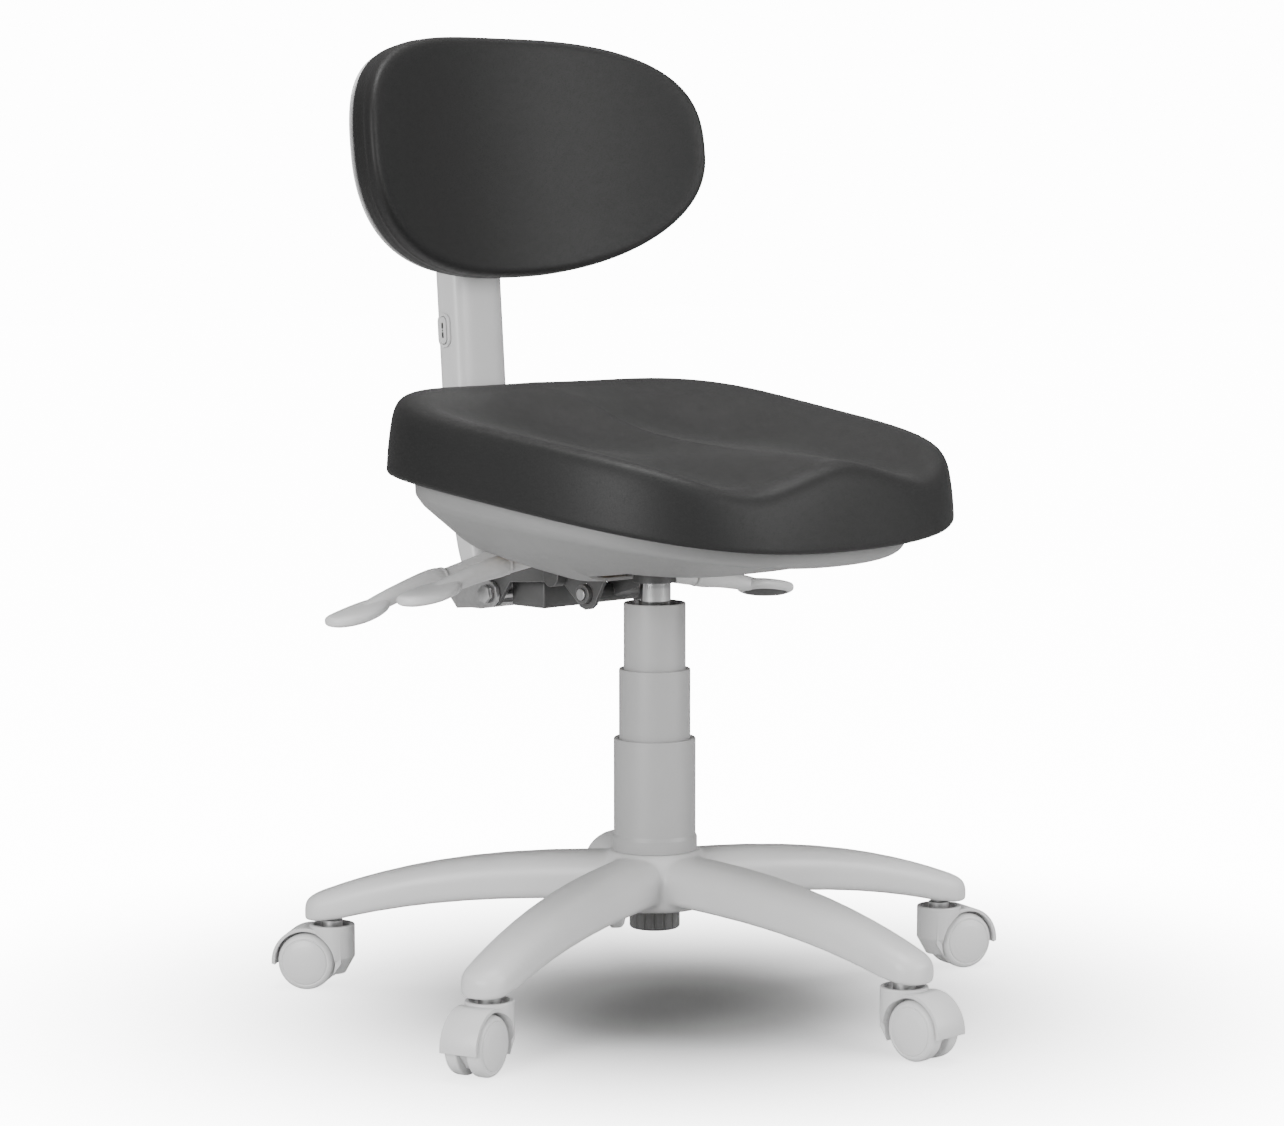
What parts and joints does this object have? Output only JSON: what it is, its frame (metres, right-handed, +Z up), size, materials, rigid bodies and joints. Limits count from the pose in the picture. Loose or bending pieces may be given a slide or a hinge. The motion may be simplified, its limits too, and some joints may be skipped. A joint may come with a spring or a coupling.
{
  "type": "dentist stool",
  "caption": "Dentist stool with a contoured saddle-like seat, curved backrest on a bent bar, tilt levers, gas-spring column with telescopic covers and a star base on twin-wheel castors.",
  "frame": {"origin": "middle of the footprint on the floor; the column stands a little behind it", "axes": "+Z up, the sitter faces -Y, the sitter's left is +X"},
  "size_m": [0.6566, 0.6245, 0.8358],
  "materials": {
    "pale_nylon": "satin moulded",
    "wheel_nylon": "satin moulded",
    "cover_plastic": "satin moulded",
    "pan_plastic": "satin moulded",
    "upholstery": "fine grained vinyl",
    "chrome_steel": "bright",
    "dark_steel": "black painted",
    "zinc": "zinc plated",
    "plywood": "raw",
    "black_plastic": "matt"
  },
  "bodies": {
    "base": {"star_base": "pale_nylon", "hub_cap": "black_plastic", "stand_tube": "dark_steel", "guide_bush": "black_plastic", "thrust_bearing": "dark_steel", "cover_lower": "cover_plastic", "castor_front_stem": "zinc", "castor_left_front_stem": "zinc", "castor_left_rear_stem": "zinc", "castor_right_rear_stem": "zinc", "castor_right_front_stem": "zinc"},
    "castor_front": {"castor_front_housing": "pale_nylon", "castor_front_axle": "zinc"},
    "wheel_front_a": {"castor_front_wheel_a": "wheel_nylon"},
    "wheel_front_b": {"castor_front_wheel_b": "wheel_nylon"},
    "castor_left_front": {"castor_left_front_housing": "pale_nylon", "castor_left_front_axle": "zinc"},
    "wheel_left_front_a": {"castor_left_front_wheel_a": "wheel_nylon"},
    "wheel_left_front_b": {"castor_left_front_wheel_b": "wheel_nylon"},
    "castor_left_rear": {"castor_left_rear_housing": "pale_nylon", "castor_left_rear_axle": "zinc"},
    "wheel_left_rear_a": {"castor_left_rear_wheel_a": "wheel_nylon"},
    "wheel_left_rear_b": {"castor_left_rear_wheel_b": "wheel_nylon"},
    "castor_right_rear": {"castor_right_rear_housing": "pale_nylon", "castor_right_rear_axle": "zinc"},
    "wheel_right_rear_a": {"castor_right_rear_wheel_a": "wheel_nylon"},
    "wheel_right_rear_b": {"castor_right_rear_wheel_b": "wheel_nylon"},
    "castor_right_front": {"castor_right_front_housing": "pale_nylon", "castor_right_front_axle": "zinc"},
    "wheel_right_front_a": {"castor_right_front_wheel_a": "wheel_nylon"},
    "wheel_right_front_b": {"castor_right_front_wheel_b": "wheel_nylon"},
    "swivel": {"piston_rod": "zinc", "rod_clip": "dark_steel"},
    "lift": {"gas_cylinder": "chrome_steel", "cover_top": "cover_plastic", "column_socket": "dark_steel", "seat_pivot_bolt": "zinc"},
    "cover_middle": {"cover_middle": "cover_plastic"},
    "valve": {"valve_pin": "zinc"},
    "seat": {"seat_cushion": "upholstery", "seat_board": "plywood", "seat_pan": "pan_plastic", "seat_frame": "dark_steel", "back_lock_pack": "dark_steel", "tilt_lock_hub": "dark_steel", "tilt_spring": "dark_steel", "back_pivot_bolt": "dark_steel"},
    "back": {"back_bracket": "zinc", "backrest_bar": "pale_nylon", "lock_bezel": "pale_nylon"},
    "lock": {"lock_button": "pale_nylon"},
    "backrest": {"backrest_slider": "pale_nylon", "backrest_shell": "pale_nylon", "backrest_cushion": "upholstery"},
    "lever_height": {"lever_height_rod": "pale_nylon", "lever_height_paddle": "pale_nylon"},
    "lever_back": {"lever_back_rod": "pale_nylon", "lever_back_paddle": "pale_nylon"},
    "lever_tilt": {"lever_tilt_rod": "pale_nylon", "lever_tilt_paddle": "pale_nylon"}
  },
  "joints": [
    {"name": "castor_front_swivel", "type": "hinge", "parent": "base", "child": "castor_front", "pos_m": [0, -0.26134, 0.0573], "axis": [0, 0, 1], "continuous": true},
    {"name": "wheel_front_a_roll", "type": "hinge", "parent": "castor_front", "child": "wheel_front_a", "pos_m": [0, -0.28224, 0.025], "axis": [1, 0, 0], "continuous": true},
    {"name": "wheel_front_b_roll", "type": "hinge", "parent": "castor_front", "child": "wheel_front_b", "pos_m": [0, -0.28224, 0.025], "axis": [1, 0, 0], "continuous": true},
    {"name": "castor_left_front_swivel", "type": "hinge", "parent": "base", "child": "castor_left_front", "pos_m": [0.27466, -0.06178, 0.0573], "axis": [0, 0, 1], "continuous": true},
    {"name": "wheel_left_front_a_roll", "type": "hinge", "parent": "castor_left_front", "child": "wheel_left_front_a", "pos_m": [0.29454, -0.06824, 0.025], "axis": [0.309, 0.9511, 0], "continuous": true},
    {"name": "wheel_left_front_b_roll", "type": "hinge", "parent": "castor_left_front", "child": "wheel_left_front_b", "pos_m": [0.29454, -0.06824, 0.025], "axis": [0.309, 0.9511, 0], "continuous": true},
    {"name": "castor_left_rear_swivel", "type": "hinge", "parent": "base", "child": "castor_left_rear", "pos_m": [0.16975, 0.2611, 0.0573], "axis": [0, 0, 1], "continuous": true},
    {"name": "wheel_left_rear_a_roll", "type": "hinge", "parent": "castor_left_rear", "child": "wheel_left_rear_a", "pos_m": [0.18204, 0.27801, 0.025], "axis": [-0.809, 0.5878, 0], "continuous": true},
    {"name": "wheel_left_rear_b_roll", "type": "hinge", "parent": "castor_left_rear", "child": "wheel_left_rear_b", "pos_m": [0.18204, 0.27801, 0.025], "axis": [-0.809, 0.5878, 0], "continuous": true},
    {"name": "castor_right_rear_swivel", "type": "hinge", "parent": "base", "child": "castor_right_rear", "pos_m": [-0.16975, 0.2611, 0.0573], "axis": [0, 0, 1], "continuous": true},
    {"name": "wheel_right_rear_a_roll", "type": "hinge", "parent": "castor_right_rear", "child": "wheel_right_rear_a", "pos_m": [-0.18204, 0.27801, 0.025], "axis": [-0.809, -0.5878, 0], "continuous": true},
    {"name": "wheel_right_rear_b_roll", "type": "hinge", "parent": "castor_right_rear", "child": "wheel_right_rear_b", "pos_m": [-0.18204, 0.27801, 0.025], "axis": [-0.809, -0.5878, 0], "continuous": true},
    {"name": "castor_right_front_swivel", "type": "hinge", "parent": "base", "child": "castor_right_front", "pos_m": [-0.27466, -0.06178, 0.0573], "axis": [0, 0, 1], "continuous": true},
    {"name": "wheel_right_front_a_roll", "type": "hinge", "parent": "castor_right_front", "child": "wheel_right_front_a", "pos_m": [-0.29454, -0.06824, 0.025], "axis": [0.309, -0.9511, 0], "continuous": true},
    {"name": "wheel_right_front_b_roll", "type": "hinge", "parent": "castor_right_front", "child": "wheel_right_front_b", "pos_m": [-0.29454, -0.06824, 0.025], "axis": [0.309, -0.9511, 0], "continuous": true},
    {"name": "seat_swivel", "type": "hinge", "parent": "base", "child": "swivel", "pos_m": [0, 0.02746, 0.086], "axis": [0, 0, 1], "continuous": true},
    {"name": "height_lift", "type": "slide", "parent": "swivel", "child": "lift", "axis": [0, 0, 1], "range_m": [-0.1, 0]},
    {"name": "cover_slide", "type": "slide", "parent": "base", "child": "cover_middle", "axis": [0, 0, 1], "range_m": [-0.05, 0]},
    {"name": "seat_tilt", "type": "hinge", "parent": "lift", "child": "seat", "pos_m": [0, 0.07146, 0.355], "axis": [-1, 0, 0], "range_deg": [-1, 8]},
    {"name": "back_tilt", "type": "hinge", "parent": "seat", "child": "back", "pos_m": [0, 0.19246, 0.346], "axis": [-1, 0, 0], "range_deg": [-6, 12]},
    {"name": "back_height", "type": "slide", "parent": "back", "child": "backrest", "axis": [0, 0.0698, 0.9976], "range_m": [-0.015, 0.045]},
    {"name": "lock_press", "type": "slide", "parent": "back", "child": "lock", "axis": [1, 0, 0], "range_m": [0, 0.002], "stiffness_N_per_m": 800, "springref_m": -0.001},
    {"name": "lever_height_pull", "type": "hinge", "parent": "seat", "child": "lever_height", "pos_m": [-0.044, 0.09446, 0.389], "axis": [0, 1, 0], "range_deg": [0, 5], "stiffness_Nm_per_rad": 2, "springref_deg": -5.73},
    {"name": "lever_back_pull", "type": "hinge", "parent": "seat", "child": "lever_back", "pos_m": [-0.044, 0.17746, 0.382], "axis": [0, 1, 0], "range_deg": [0, 5]},
    {"name": "lever_tilt_pull", "type": "hinge", "parent": "seat", "child": "lever_tilt", "pos_m": [0.044, 0.09146, 0.368], "axis": [0, -1, 0], "range_deg": [0, 5]},
    {"name": "valve_press", "type": "slide", "parent": "lift", "child": "valve", "axis": [0, 0, -1], "range_m": [0, 0.0045]}
  ],
  "couplings": [
    {"joint": "cover_slide", "follows": "height_lift", "ratio": 0.5},
    {"joint": "valve_press", "follows": "lever_height_pull", "m_per_rad": 0.044}
  ]
}
